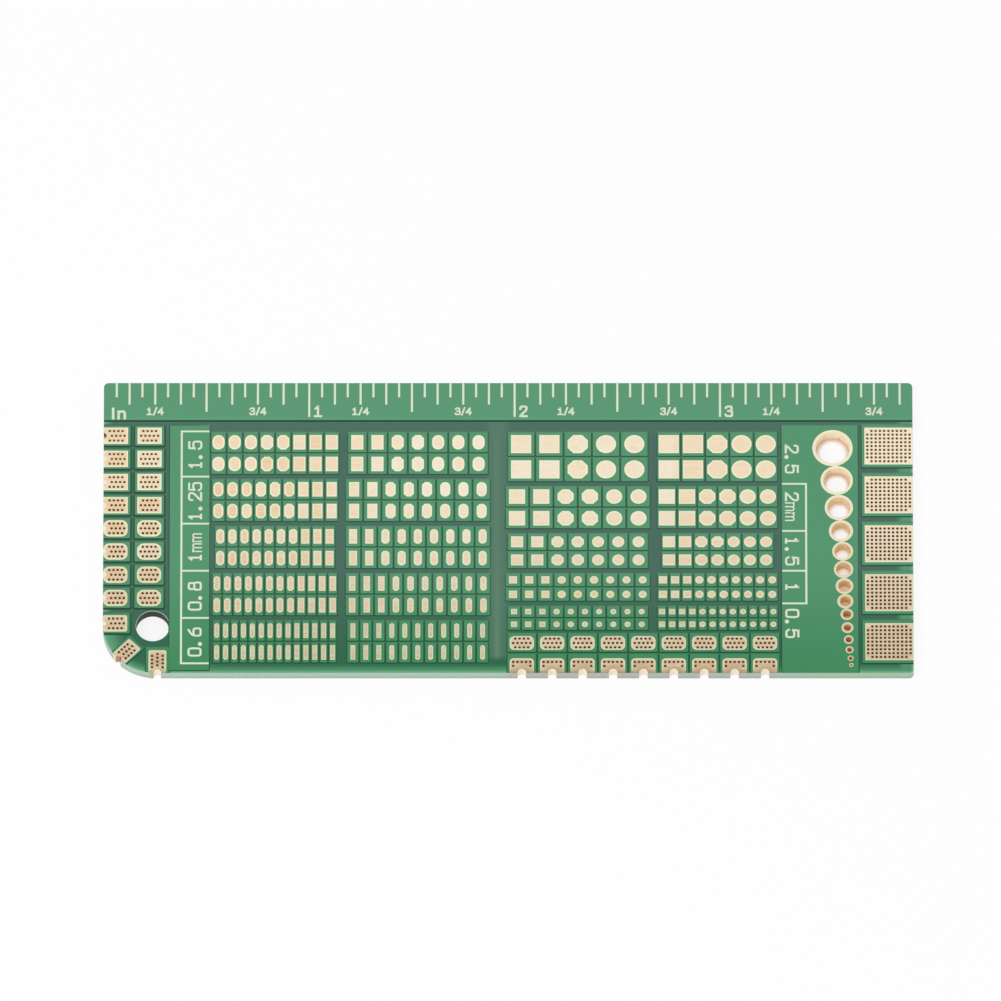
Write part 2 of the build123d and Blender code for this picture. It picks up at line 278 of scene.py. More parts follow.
coat, x, y = lacquer("resist_over_copper", 0.28, (60, 135, 89))
# Painted shade and sheen: darker towards the near edge, brighter towards the far end on the strip with the
# scale.
coat.layer(y.rise(near_mm, -3.0), 84, 149, 111)
coat.layer(y.rise(13.5, 15.0), 91, 153, 117)
# Painted highlight: a light band along the near edge of the strip with the scale.
highlight_at_strip_edge = y.between(14.95, 15.0, 15.1, 15.3)
coat.layer(highlight_at_strip_edge * 0.4, 108, 166, 124)
coat.layer(coat.noise(0.4, 0.4) * 0.2, 80, 156, 112)
coat.bump(coat.noise(2.0, 2.0), WEAVE_DEPTH)
RESIST_COPPER = coat.done()

# The coat thins out over the copper's edge and is dark there, partly as painted shade: painted
# dark at near and side edges, and pale, as painted light, at far ones.
coat, x, y = lacquer("resist_at_copper_edge", 0.35, (0, 62, 36))
away = y.rise(near_mm, -3.0)
normal = coat.node("ShaderNodeNewGeometry").outputs["Normal"]
towards_scale = Value(coat, coat.node("ShaderNodeSeparateXYZ", {0: normal}).outputs[1])
# Painted shade: the slopes are darker towards the near edge.
coat.layer(away, 22, 72, 48)
pale = coat.mix(away, (52, 116, 78), (88, 132, 98))
pale = coat.mix(x.fall(-38.5, -38.0) * away, pale, (70, 108, 84))
# Painted light and shade by facing: slopes that face the far edge are pale, the others dark.
coat.layer(towards_scale.rise(-0.06, 0.12), pale)
RESIST_EDGE = coat.done()
print("coats:", RESIST_SHEET.name, RESIST_COPPER.name, RESIST_EDGE.name)

# %% [markdown]
# ## Glass fibre at the cut edges
#
# Where the board was routed out, the sheet shows its layers of cloth as fine lines. The
# left part of the near edge was routed smooth and looks green and clear, the right part,
# between the half holes, is rougher and grey. The cut edge is painted darker at its foot, as
# shade by the floor. The wall of the drilled hole is painted dark, as shade, on its far half
# and stays pale green on the near one.

# %% Cut and drilled glass fibre
ROUTING_MARKS = 0.02 * MM
CLOTH_LAYER = 0.19
MOUNTING_FROM_LEFT, MOUNTING_FROM_NEAR = 6.15, 6.45

edge = Finish("glass_fibre_edge", roughness=0.55, colour=(178, 204, 184))
x, y, z = edge.place()
layers = (z * (2 * math.pi / CLOTH_LAYER)).sine() * 0.5 + 0.5
rough = edge.noise(1.6, 1.6, 9.0, detail=4.0)
edge.layer(x.rise(33.0, 35.0), 164, 200, 172)
edge.layer(x.between(-1.5, 0.5, 33.0, 35.0) * y.fall(-19.0, -18.0), 184, 186, 180)
edge.layer(layers * 0.2, 206, 218, 206)
edge.layer(rough.rise(0.45, 0.7) * 0.35, 150, 164, 148)
# Painted shade: the edge is darker near its foot, where it meets the floor.
edge.layer(z.fall(0.3, 0.9) * 0.35, 150, 164, 152)
edge.bump(rough, ROUTING_MARKS)
CUT_SHEET = edge.done()

# Painted shade: the far half of the hole's wall is dark, and only the near half keeps the pale green of
# drilled glass fibre.
wall = Finish("drilled_glass_fibre", roughness=0.6, colour=(10, 14, 14))
rough = wall.noise(1.5, 1.5, 6.0, detail=4.0)
y = wall.place()[1] - near_mm - MOUNTING_FROM_NEAR
wall.layer(rough, 30, 36, 34)
wall.layer(y.fall(-0.85, -0.05), wall.mix(rough, (104, 128, 108), (132, 152, 132)))
wall.bump(rough, ROUTING_MARKS)
DRILLED_SHEET = wall.done()
print("edges:", CUT_SHEET.name, DRILLED_SHEET.name)

# %% [markdown]
# ## Gold on the pads
#
# The pads are copper with a thin matt gold plating. A painted highlight makes the plating
# brighter along each pad's rim, and its tone differs a little from pad to pad. Both come from
# marks on the points of the pads' meshes: `rim` is 1 at the rim, and `tone` is one number for
# each pad. Rolling has left fine streaks along the board. Painted shade makes the gold darker
# towards the near edge. Inside the holes the gold is deeper, and painted darker as shade,
# the more the narrower the hole.

# %% Gold and print
HALF_HOLE_PITCH = 3.75
FIRST_HALF_HOLE = round(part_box("edge_pads_bottom")[0].x / MM, 2) + 1.55


def round_half_holes(x, y):
    """A ring round each half hole of the near edge, where the gold is browner."""
    along = (x - FIRST_HALF_HOLE).folded(HALF_HOLE_PITCH / 2)
    from_edge = y - near_mm
    return (along * along + from_edge * from_edge).root().fall(0.70, 1.20) * x.rise(-1.0, 0.0)


gold = Finish("gold_on_pads", roughness=0.42, metallic=0.35, colour=(252, 233, 200))
x, y = gold.place()[:2]
tone = gold.mark("tone")
rim = gold.mark("rim").rise(0.0, 0.6)
near_end = y.fall(-16.0, 8.0)
last_dots = x.between(-0.6, -0.4, 33.0, 33.5) * y.between(-14.6, -14.2, -10.9, -9.9)
last_oblongs = x.between(-37.2, -37.0, -2.0, -1.8) * y.fall(-12.4, -12.0)
streaks = gold.noise(0.4, 4.5, detail=3.0)
gold.layer(tone, 254, 241, 216)
gold.layer(x.fall(-28.0, -12.0) * (1 - tone * 0.6) * 0.9, 242, 208, 162)
gold.layer(x.between(20.0, 21.0, 33.0, 33.5) * 0.5, 248, 218, 176)
# Painted shade: the gold is darker and browner towards the near edge, most in the pads along it.
gold.layer(near_end * 0.8, 208, 184, 150)
gold.layer(y.fall(-17.7, -17.1) * 0.5, 200, 168, 130)
gold.layer(last_dots.larger(last_oblongs * 0.8) * 0.5, 176, 188, 152)
gold.layer(gold.noise(1.6, 1.6).rise(0.45, 0.75) * 0.25, 238, 204, 160)
gold.layer(streaks.rise(0.4, 0.75) * 0.4, 254, 246, 228)
# Painted highlight: a lighter rim on each pad, dimmer towards the near edge as painted shade.
gold.layer(rim * 0.85, gold.mix(near_end, (250, 250, 218), (230, 228, 190)))
gold.layer(round_half_holes(x, y) * 0.5, 196, 156, 104)
gold.layer(y.fall(near_mm, near_mm + 0.6) * 0.6, 150, 150, 120)
gold.feed("Roughness", 0.36 + streaks * 0.16)
gold.bump(streaks, 0.003 * MM)
GOLD = gold.done()

gold = Finish("gold_in_holes", roughness=0.4, metallic=0.2, colour=(255, 242, 214))
y = gold.place()[1]
dull = gold.noise(1.2, 1.2, 0.8, detail=3.0)
# Painted shade: the gold is deeper and darker in the narrower holes towards the near end, where less light
# gets in.
gold.layer(y.fall(-4.0, 12.0), 242, 214, 156)
gold.layer(dull.rise(0.4, 0.7) * 0.6, 228, 184, 124)
gold.layer(y.fall(-11.6, -10.6), 240, 198, 152)
HOLE_GOLD = gold.done()

# The half holes are open to the light and pale. The farthest one is dark brown, and at the
# corner copper shows, with the right side of that notch painted dark as shade.
gold = Finish("gold_in_half_holes", roughness=0.5, metallic=0.1, colour=(255, 250, 234))
x, y, z = gold.place()
farthest = y.rise(10.8, 11.6) * (0.5 + z.rise(0.2, 0.8) * 0.5)
# Painted shade: the right side of the corner notch is dark.
copper = gold.mix(x.rise(-47.95, -47.8), (214, 150, 118), (96, 62, 58))
gold.layer(gold.noise(2.0, 2.0, 1.0, detail=3.0) * 0.6, 240, 216, 184)
gold.layer(y.between(-19.3, -18.9, -17.0, -16.0), copper)
gold.layer(farthest, 84, 42, 4)
HALF_HOLE_GOLD = gold.done()

# A via is too narrow for light to reach its wall, and its plating is dull.
gold = Finish("gold_in_vias", roughness=0.6, metallic=0.3, colour=(212, 188, 144))
gold.layer(gold.noise(2.0, 2.0), 236, 216, 172)
# Painted shade: the vias are darker towards the near end.
gold.layer(gold.place()[1].fall(-2.0, 12.0) * 0.7, 196, 152, 98)
VIA_GOLD = gold.done()


def white_print(name, thin, thick):
    ink = Finish(name, roughness=0.6, colour=thin)
    patchy = ink.noise(3.0, 3.0, detail=4.0)
    ink.layer(patchy, *thick)
    ink.bump(patchy, 0.004 * MM)
    return ink.done()


PRINT = white_print("white_print", (206, 224, 190), (232, 242, 218))
THIN_PRINT = white_print("thin_white_print", (96, 150, 112), (140, 184, 144))
print("metal and print:", GOLD.name, HOLE_GOLD.name, PRINT.name)

# %% [markdown]
# ## Reading the measured pieces
#
# A field of pads is one measured piece with many separate solids. To know where each pad
# lies, the piece's triangles are joined at their corners, and the corners that hang
# together are one pad.

# %% Boxes of the separate solids
def measured_mesh(name):
    """The triangles of a measured piece, joined at their corners."""
    mesh = bmesh.new()
    mesh.from_mesh(cad[name].data)
    bmesh.ops.remove_doubles(mesh, verts=mesh.verts, dist=WELD)
    return mesh


def solids_of(name):
    """Lowest and highest corner of each solid of a measured piece, row by row."""
    mesh = measured_mesh(name)
    left_over = set(mesh.verts)
    boxes = []
    while left_over:
        front = [left_over.pop()]
        corners = []
        while front:
            vert = front.pop()
            corners.append(vert.co.copy())
            linked = {edge.other_vert(vert) for edge in vert.link_edges} & left_over
            left_over -= linked
            front.extend(linked)
        low = Vector(min(c[i] for c in corners) for i in range(3))
        high = Vector(max(c[i] for c in corners) for i in range(3))
        boxes.append((low, high))
    mesh.free()
    return sorted(boxes, key=lambda box: (-round(box[1].y / MM, 1), box[0].x))


# %% [markdown]
# ## Flat shapes
#
# Every pad starts as a square grid of one face, stretched to size. Bevelling its four
# corner points with one step cuts them straight, which makes an octagon, and with more
# steps it rounds them. When the round is half the width, the shape is a disc.

# %% A flat shape and a raised one
def cut_corners(mesh, points, offset, steps):
    """Cuts corner points straight with one step, or rounds them with more."""
    return bmesh.ops.bevel(mesh, geom=points, offset=offset, offset_type="OFFSET", segments=steps,
                           profile=0.5, affect="VERTICES", material=-1, clamp_overlap=False)["verts"]


def flat_shape(mesh, width, length, cut=0.0, steps=1, height=0.0):
    """One face in the middle of the board's frame, with its corners cut or rounded."""
    older = set(mesh.faces)
    points = bmesh.ops.create_grid(mesh, x_segments=1, y_segments=1, size=0.5)["verts"]
    bmesh.ops.scale(mesh, vec=(width, length, 1), verts=points)
    bmesh.ops.translate(mesh, vec=(0, 0, height), verts=points)
    if cut:
        rounds = cut_corners(mesh, points, cut, steps)
        bmesh.ops.remove_doubles(mesh, verts=rounds, dist=WELD)
    return next(face for face in mesh.faces if face not in older)


def raise_face(mesh, face, rise):
    """Extrudes a face upwards and gives back the new top."""
    made = bmesh.ops.extrude_face_region(mesh, geom=[face])["geom"]
    top = next(part for part in made if isinstance(part, bmesh.types.BMFace))
    bmesh.ops.translate(mesh, vec=(0, 0, rise), verts=top.verts[:])
    return top


def face_outwards(mesh):
    bmesh.ops.recalc_face_normals(mesh, faces=mesh.faces[:])


def keep_shape(mesh, name):
    """Stores a finished mesh under a name, so that it can be copied or shown."""
    shape = bpy.data.meshes.new(name)
    mesh.to_mesh(shape)
    mesh.free()
    return shape


def add_copy(mesh, shape, place, turn=0.0, tone=None):
    """Adds a copy of a stored shape, turned about its middle and set at a place."""
    before = len(mesh.verts)
    mesh.from_mesh(shape)
    mesh.verts.ensure_lookup_table()
    added = mesh.verts[before:]
    if turn:
        bmesh.ops.rotate(mesh, cent=(0, 0, 0), matrix=Matrix.Rotation(turn, 3, "Z"), verts=added)
    bmesh.ops.translate(mesh, vec=(place[0], place[1], 0), verts=added)
    layer = mesh.verts.layers.float.get("tone")
    if tone is not None and layer:
        for vert in added:
            vert[layer] = tone


def add_object(name, data):
    thing = bpy.data.objects.new(name, data)
    bpy.context.collection.objects.link(thing)
    return thing


def finish_piece(mesh, name, finishes, stands_for=()):
    """Makes a piece of the board from a mesh: its finishes and what it stands for."""
    piece = add_object(name, keep_shape(mesh, name))
    for finish in finishes:
        piece.data.materials.append(finish)
    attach(piece, "root")
    if stands_for:
        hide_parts(*stands_for)
    print(name, "has", len(piece.data.polygons), "faces")


# %% [markdown]
# ## The pads of the four fields
#
# A pad rises from the coat, has a soft shoulder and a rim painted a little brighter than its
# middle, as a highlight. Extruding makes the wall, and two insets make the shoulder and the
# rim. In a row the first pads are rectangular, then come octagonal and rounded ones, and in
# the field next to the left strip it is the other way round.

# %% One pad
SHOULDER = 0.03 * MM
SHOULDER_RISE = 0.012 * MM
RIM_WIDTH = 0.25 * MM
PAD_FOOT = SHEET_TOP - 0.010 * MM
OCTAGON_CUT = 0.29
LARGE_DOT = 1.9 * MM


def marked_mesh():
    """A mesh whose points can hold the marks that the gold reads."""
    mesh = bmesh.new()
    mesh.verts.layers.float.new("rim")
    mesh.verts.layers.float.new("tone")
    return mesh


def shoulder_and_rim(mesh, face, rim_width):
    """Softens a pad's top edge and marks its rim. Gives back the middle face."""
    rim = mesh.verts.layers.float["rim"]
    bmesh.ops.inset_region(mesh, faces=[face], thickness=SHOULDER, depth=SHOULDER_RISE, use_boundary=True)
    for vert in mesh.verts:
        vert[rim] = 1.0
    bmesh.ops.inset_region(mesh, faces=[face], thickness=rim_width, depth=0.0, use_boundary=True)
    for vert in face.verts:
        vert[rim] = 0.0
    return face


def pad_shape(kind, width, length):
    """A finished pad, rectangular, octagonal or rounded, with its middle at X 0, Y 0."""
    narrow = min(width, length)
    cut, steps = {"rectangular": (0, 0), "octagonal": (OCTAGON_CUT * narrow, 1),
                  "rounded": (narrow / 2, 6 if narrow > LARGE_DOT else 4)}[kind]
    mesh = marked_mesh()
    face = flat_shape(mesh, width, length, cut, steps, PAD_FOOT)
    top = raise_face(mesh, face, PAD_TOP - SHOULDER_RISE - PAD_FOOT)
    shoulder_and_rim(mesh, top, min(RIM_WIDTH, narrow * 0.26))
    face_outwards(mesh)
    return keep_shape(mesh, f"{kind}_pad")


# %% [markdown]
# Copper reaches a little further than each pad, under the coat, so every pad sits on a
# green tile. The coat slopes down at the copper's edge, where it is thin and dark, partly as
# painted shade, and the slopes of two tiles meet in the groove between them.

# %% One tile
GROOVE = 0.25 * MM
SLOPE = 0.12 * MM
TILE_ROUND = 0.06 * MM


def tile_shape(width, length, slope=SLOPE):
    """Coated copper under a pad: a flat top with a slope all round."""
    mesh = bmesh.new()
    foot, step = COAT_ON_SHEET - 0.01 * MM, COAT_ON_SHEET + 0.001 * MM
    face = flat_shape(mesh, width + 2 * slope, length + 2 * slope, TILE_ROUND + slope, 2, foot)
    top = raise_face(mesh, face, step - foot)
    sides = bmesh.ops.inset_region(mesh, faces=[top], thickness=slope, depth=COAT_ON_COPPER - step)["faces"]
    for side in sides:
        side.material_index = 1
    face_outwards(mesh)
    return keep_shape(mesh, "tile")


# %% All the pads and tiles of the fields
# For each field, the shares of a row at which octagonal and rounded pads start, and
# whether the row is counted from its other end.
FIELDS = {
    "oblong_pads_close": (0.33, 0.64, True),
    "oblong_pads_wide": (0.27, 0.60, False),
    "dot_pads_wide": (0.33, 0.64, False),
    "dot_pads_close": (0.33, 0.64, False),
}


def kind_of_pad(share, octagonal_from, rounded_from):
    """Shape of a pad by how far along its row it lies, from 0 to 1."""
    if share < octagonal_from:
        return "rectangular"
    return "octagonal" if share < rounded_from else "rounded"


tones = random.Random(5)
for field, (octagonal_from, rounded_from, turned) in FIELDS.items():
    tiles = bmesh.new()
    for size in range(1, 6):
        name = f"{field}_{size}"
        boxes = solids_of(name)
        low, high = boxes[0]
        count = len(boxes) // 2
        pitch = boxes[1][0].x - low.x
        row_pitch = low.y - boxes[count][0].y
        shapes = {kind: pad_shape(kind, high.x - low.x, high.y - low.y)
                  for kind in ("rectangular", "octagonal", "rounded")}
        tile = tile_shape(pitch - GROOVE, row_pitch - GROOVE)
        pads = marked_mesh()
        for i, (low, high) in enumerate(boxes):
            middle = (low + high) / 2
            share = (i % count + 0.5) / count
            kind = kind_of_pad(1 - share if turned else share, octagonal_from, rounded_from)
            add_copy(pads, shapes[kind], middle, tone=tones.random())
            add_copy(tiles, tile, middle)
        finish_piece(pads, f"{name}_gold", [GOLD], [name])
    finish_piece(tiles, f"{field}_tiles", [RESIST_COPPER, RESIST_EDGE])

# %% [markdown]
# ## Cutting with solids
#
# The sheet and the coated copper are plates with holes, half holes and windows in them.
# The plates are simple shapes, and Booleans take the holes out of them. The walls that a
# Boolean leaves take the material number of the cutter's faces.

# %% Plates and cutters
LARGE_ROUND_STEPS = 24
SMALL_ROUND = 0.6 * MM
SMALL_ROUND_STEPS = 6
BEYOND = 1.0 * MM


def board_plate(bottom, top, margin=0.0):
    """A plate with the board's own outline: one large round and three small ones."""
    mesh = bmesh.new()
    face = flat_shape(mesh, RIGHT - LEFT - 2 * margin, SCALE_EDGE - NEAR - 2 * margin, height=bottom)
    large, *small = sorted(face.verts, key=lambda v: v.co.x + v.co.y)
    cut_corners(mesh, [large], LARGE_ROUND * MM - margin, LARGE_ROUND_STEPS)
    for corner in small:
        cut_corners(mesh, [corner], SMALL_ROUND - margin, SMALL_ROUND_STEPS)
    raise_face(mesh, next(iter(mesh.faces)), top - bottom)
    return mesh


def drill(mesh, x, y, radius, sides, material=0):
    """A round cutter that goes right through the board."""
    depth = PAD_TOP + 2 * BEYOND
    place = Matrix.Translation((x, y, PAD_TOP / 2))
    points = bmesh.ops.create_cone(mesh, cap_ends=True, cap_tris=False, segments=sides, radius1=radius,
                                   radius2=radius, depth=depth, matrix=place)["verts"]
    for face in {f for v in points for f in v.link_faces}:
        face.material_index = material


def baked(thing):
    """The mesh that an object has after its modifiers or its bevel. The object is deleted."""
    ready = thing.evaluated_get(bpy.context.evaluated_depsgraph_get())
    mesh = bpy.data.meshes.new_from_object(ready)
    bpy.data.objects.remove(thing)
    return mesh


def cut_by(mesh, *cutters, operation="DIFFERENCE"):
    """The mesh after a Boolean with each cutter. The cutters are kept for other meshes."""
    for cutter in cutters:
        face_outwards(mesh)
        face_outwards(cutter)
        work = add_object("work", keep_shape(mesh, "work"))
        tool = add_object("tool", keep_shape(cutter.copy(), "tool"))
        modifier = work.modifiers.new("cut", "BOOLEAN")
        modifier.operation = operation
        modifier.solver = "EXACT"
        modifier.object = tool
        mesh = bmesh.new()
        mesh.from_mesh(baked(work))
        bpy.data.objects.remove(tool)
    return mesh


# %% [markdown]
# ## Vias
#
# The pierced pads are full of vias: plated holes a third of a millimetre wide that carry
# heat through the board. There are nearly nine hundred, so each has eight sides. Their
# rows are staggered. A small pad has three rows of four or five, a large one nine rows.

# %% Where the vias lie in each kind of pad
VIA_RADIUS = 0.18 * MM
VIA_SIDES = 8


def rows_of_vias(rows, pitch):
    """Places from rows, each given as how many, how far across and how far shifted along."""
    return [((i - (count - 1) / 2) * pitch + shift, across)
            for count, across, shift in rows for i in range(count)]


def three_rows(across, in_middle, pitch, shift=0.0, middle_shift=0.0):
    """A row of four on each side of a middle one, in millimetres."""
    rows = ((4, across * MM, shift * MM), (in_middle, 0, middle_shift * MM), (4, -across * MM, shift * MM))
    return rows_of_vias(rows, pitch * MM)


inner_vias = three_rows(0.66, 5, 0.52)
near_vias = three_rows(0.60, 5, 0.53)
end_vias = three_rows(0.66, 4, 0.52, 0.03, 0.29)
corner_vias = three_rows(0.60, 4, 0.50, 0, 0.22)
foot_vias = three_rows(0.66, 4, 0.52, 0, 0.26)
edge_vias = rows_of_vias(((5, 0.50 * MM, 0),), 0.53 * MM)
edge_vias += rows_of_vias(((2, -0.06 * MM, 0),), 2.12 * MM)
LARGE_PITCH = 0.524 * MM
large_rows = [(9 if abs(row) == 4 else 11, row * LARGE_PITCH, 0) for row in range(-4, 5)]
large_vias = rows_of_vias(large_rows, LARGE_PITCH)
print("vias in one large pad:", len(large_vias))

# %% [markdown]
# A pierced pad is made as one block through the board, so that its vias are real holes.
# The rim is set in first, then the middle is filled again round the via circles, and the
# whole face is extruded to the underside, which gives the walls of the vias as well.

# %% One pierced pad
def pierced_shape(width, length, corners, vias, name):
    """A pad with its vias, from its top down to the land on the underside."""
    mesh = marked_mesh()
    face = flat_shape(mesh, width, length, *corners, PAD_TOP - SHOULDER_RISE)
    beside_vias = min(size / 2 - max(abs(via[axis]) for via in vias) - VIA_RADIUS
                      for axis, size in enumerate((width, length)))
    middle = shoulder_and_rim(mesh, face, min(RIM_WIDTH, (beside_vias - SHOULDER) * 0.8))
    # The middle gets a little of the rim's painted highlight.
    for vert in middle.verts:
        vert[mesh.verts.layers.float["rim"]] = 0.35
    fill_edges = middle.edges[:]
    bmesh.ops.delete(mesh, geom=[middle], context="FACES_ONLY")
    via_edges = set()
    for x, y in vias:
        points = bmesh.ops.create_circle(mesh, cap_ends=False, segments=VIA_SIDES, radius=VIA_RADIUS,
                                         matrix=Matrix.Translation((x, y, PAD_TOP)))["verts"]
        via_edges |= {edge for vert in points for edge in vert.link_edges}
    bmesh.ops.triangle_fill(mesh, use_beauty=True, use_dissolve=False,
                            edges=fill_edges + list(via_edges))
    made = bmesh.ops.extrude_face_region(mesh, geom=mesh.faces[:])["geom"]
    lower = [part for part in made if isinstance(part, bmesh.types.BMVert)]
    to_middle = Matrix.Translation((0, 0, -PAD_TOP / 2))
    bmesh.ops.scale(mesh, vec=(1, 1, -1), space=to_middle, verts=lower)
    for face in {f for edge in via_edges if edge.is_valid for f in edge.link_faces}:
        if face.calc_area() > VIA_RADIUS * PAD_TOP / 4 and abs(face.normal.z) < 0.5:
            face.material_index = 2
    face_outwards(mesh)
    return keep_shape(mesh, name)


# %% [markdown]
# The places of the pierced pads come from the measured pieces. At the left and near edges
# the pads are castellated: the board's edge cuts a plated hole in half. Each block there
# gets its half hole, and the sheet round it a slightly larger one.

# %% All the pierced and castellated pads
PLATING = 0.035 * MM
EDGE_GAP = 0.012 * MM
WINDOW_MARGIN = 0.16 * MM
windows = bmesh.new()
sheet_drills = bmesh.new()
pad_drills = bmesh.new()
pierced = {name: marked_mesh() for name in ("perforated_pads_left", "perforated_pads_bottom",
                                             "perforated_pads_right", "edge_pads_left",
                                             "edge_pads_bottom", "edge_pad_corner", "edge_pad_foot")}


def middle_and_size(box):
    low, high = box
    return (low + high) / 2, high - low


def window(middle, width, length, turn=0.0):
    """Room in the sheet for a block of vias."""
    face = flat_shape(windows, width - 2 * WINDOW_MARGIN, length - 2 * WINDOW_MARGIN, height=-BEYOND)
    top = raise_face(windows, face, PAD_TOP + 2 * BEYOND)
    points = list({v for f in (face, top) for v in f.verts})
    bmesh.ops.rotate(windows, cent=(0, 0, 0), matrix=Matrix.Rotation(turn, 3, "Z"), verts=points)
    bmesh.ops.translate(windows, vec=(middle[0], middle[1], 0), verts=points)


def half_hole(x, y, diameter):
    drill(pad_drills, x, y, diameter / 2 - PLATING, 24, material=1)
    drill(sheet_drills, x, y, diameter / 2, 24)


def add_pierced(name, vias, corners, last=None, shift=0.0, too_long=0.0):
    """The pads of a measured piece. Corners say how far each is cut, and in how many steps.

    They are given for the first pads, and the rest are like the last of those. The lowest
    pad may have its own. The board's outline cuts off what is too long."""
    boxes = solids_of(name)
    middle, size = middle_and_size(boxes[0])
    vias = [(x, y + too_long / 2) for x, y in vias]
    kinds = [corners[min(i, len(corners) - 1)] for i in range(len(boxes))]
    kinds[-1] = last or kinds[-1]
    shapes = {kind: pierced_shape(size.x, size.y + too_long, kind, vias, name)
              for kind in dict.fromkeys(kinds)}
    for kind, box in zip(kinds, boxes):
        middle, size = middle_and_size(box)
        place = (middle.x + shift, middle.y - too_long / 2)
        add_copy(pierced[name], shapes[kind], place, tone=tones.random())
        window(middle, size.x, size.y)
    return boxes


SQUARE = (0.0, 0)
inner_boxes = add_pierced("perforated_pads_left", inner_vias, [SQUARE] * 4 + [(0.85 * MM, 5)])
end_boxes = add_pierced("edge_pads_left", end_vias, [SQUARE] * 4 + [(0.75 * MM, 5)],
                        last=(0.25 * MM, 3), shift=EDGE_GAP)
near_boxes = add_pierced("perforated_pads_bottom", near_vias, [(0.6 * MM, 5)])
edge_boxes = add_pierced("edge_pads_bottom", edge_vias, [(0.5 * MM, 5)], too_long=1.0 * MM)
large_boxes = add_pierced("perforated_pads_right", large_vias, [SQUARE], shift=-EDGE_GAP)

END_NOTCH, FOOT_NOTCH, NEAR_NOTCH = 0.8 * MM, 1.0 * MM, 1.15 * MM
for box in end_boxes:
    half_hole(LEFT, middle_and_size(box)[0].y, END_NOTCH)
for box in edge_boxes:
    half_hole(middle_and_size(box)[0].x, NEAR, NEAR_NOTCH)

# %% The two pads at the large corner
def add_turned(name, vias, place, width, length, degrees, tone):
    """One pad of its own, turned about its middle, in a window in the sheet."""
    shape = pierced_shape(width, length, (0.2 * MM, 3), vias, name)
    add_copy(pierced[name], shape, place, math.radians(degrees), tone)
    window(place, width, length, math.radians(degrees))


CORNER_PAD = (2.9 * MM, 2.05 * MM)
corner_middle = Vector((LEFT + LARGE_ROUND * MM, NEAR + LARGE_ROUND * MM))
outward = Vector((-1, -1)).normalized()
corner_edge = corner_middle + outward * LARGE_ROUND * MM
corner_place = corner_edge - outward * (CORNER_PAD[0] / 2)
add_turned("edge_pad_corner", corner_vias, corner_place, *CORNER_PAD, 45, tone=0.1)
half_hole(*corner_edge, END_NOTCH)

foot_middle, size = middle_and_size(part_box("edge_pad_foot"))
add_turned("edge_pad_foot", foot_vias, foot_middle, size.y, size.x, 90, tone=0.3)
half_hole(foot_middle.x, NEAR, FOOT_NOTCH)

outline_cutter = board_plate(-BEYOND, PAD_TOP + BEYOND, EDGE_GAP)
for name, mesh in pierced.items():
    if name.startswith("edge"):
        mesh = cut_by(mesh, pad_drills)
        mesh = cut_by(mesh, outline_cutter, operation="INTERSECT")
    finish_piece(mesh, f"{name}_gold", [GOLD, HALF_HOLE_GOLD, VIA_GOLD], [name])

# %% [markdown]
# ## The chain of plated holes
#
# Each plated hole is one turned shape: a ring of copper on each face and a thin barrel
# between them. Its half section is drawn once as a closed loop of edges and spun round the
# hole's middle. The larger the hole, the more steps the turn has.

# %% Fourteen plated holes
def plated_hole(number, bore):
    """A plated hole where the measured one is. The bore is its open width."""
    name = f"plated_hole_{number:02d}"
    low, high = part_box(name)
    x, y = (low.x + high.x) / 2, (low.y + high.y) / 2
    land = (high.x - low.x) / 2
    inner = bore / 2
    width = land - inner
    soft = min(0.03 * MM, width / 6)
    rim = min(0.13 * MM, width / 3)
    # The third number of each point is its rim mark, which the gold reads for its painted highlight.
    half = ((land, PAD_FOOT, 1), (land, PAD_TOP - soft, 1), (land - soft, PAD_TOP, 1),
            (land - rim, PAD_TOP, 0.5), (inner + rim, PAD_TOP, 0.1), (inner + soft, PAD_TOP, 0),
            (inner, PAD_TOP - soft, 0), (inner, soft, 0), (inner + soft, 0, 1), (land - soft, 0, 1),
            (land, soft, 1), (land, UNDER_COAT + 2 * soft, 1), (inner + PLATING, UNDER_COAT + 2 * soft, 1),
            (inner + PLATING, PAD_FOOT, 1))
    mesh = marked_mesh()
    marks = mesh.verts.layers.float
    points = [mesh.verts.new((x + r, y, z)) for r, z, mark in half]
    for point, (r, z, mark) in zip(points, half):
        point[marks["rim"]] = mark
        point[marks["tone"]] = 0.35
    loop = [mesh.edges.new((first, second)) for first, second in zip(points, points[1:] + points[:1])]
    steps = 4 * round(5 + 2.2 * bore / MM)
    bmesh.ops.spin(mesh, geom=points + loop, cent=(x, y, 0), axis=(0, 0, 1), angle=2 * math.pi,
                   steps=steps, use_merge=True)
    bmesh.ops.remove_doubles(mesh, verts=mesh.verts, dist=WELD)
    face_outwards(mesh)
    for face in mesh.faces:
        reach = (face.calc_center_median().xy - Vector((x, y))).length
        face.material_index = 1 if reach < inner + soft * 0.3 else 0
    drill(sheet_drills, x, y, inner + PLATING / 2, steps)
    finish_piece(mesh, f"{name}_gold", [GOLD, HOLE_GOLD], [name])


BORES = (4.2, 3.3, 2.8, 2.3, 2.0, 1.8, 1.5, 1.3, 1.0, 0.9, 0.75, 0.6, 0.45, 0.25)
for number, bore in enumerate(BORES, start=1):
    plated_hole(number, bore * MM)

# %% [markdown]
# ## The sheet
#
# The sheet is the board's outline as a plate. Booleans drill it and cut the windows for
# the pierced pads. Its faces get their finish by where they point: the coat on top and
# below, cut glass fibre round the outline. The mounting hole's wall has its own finish.

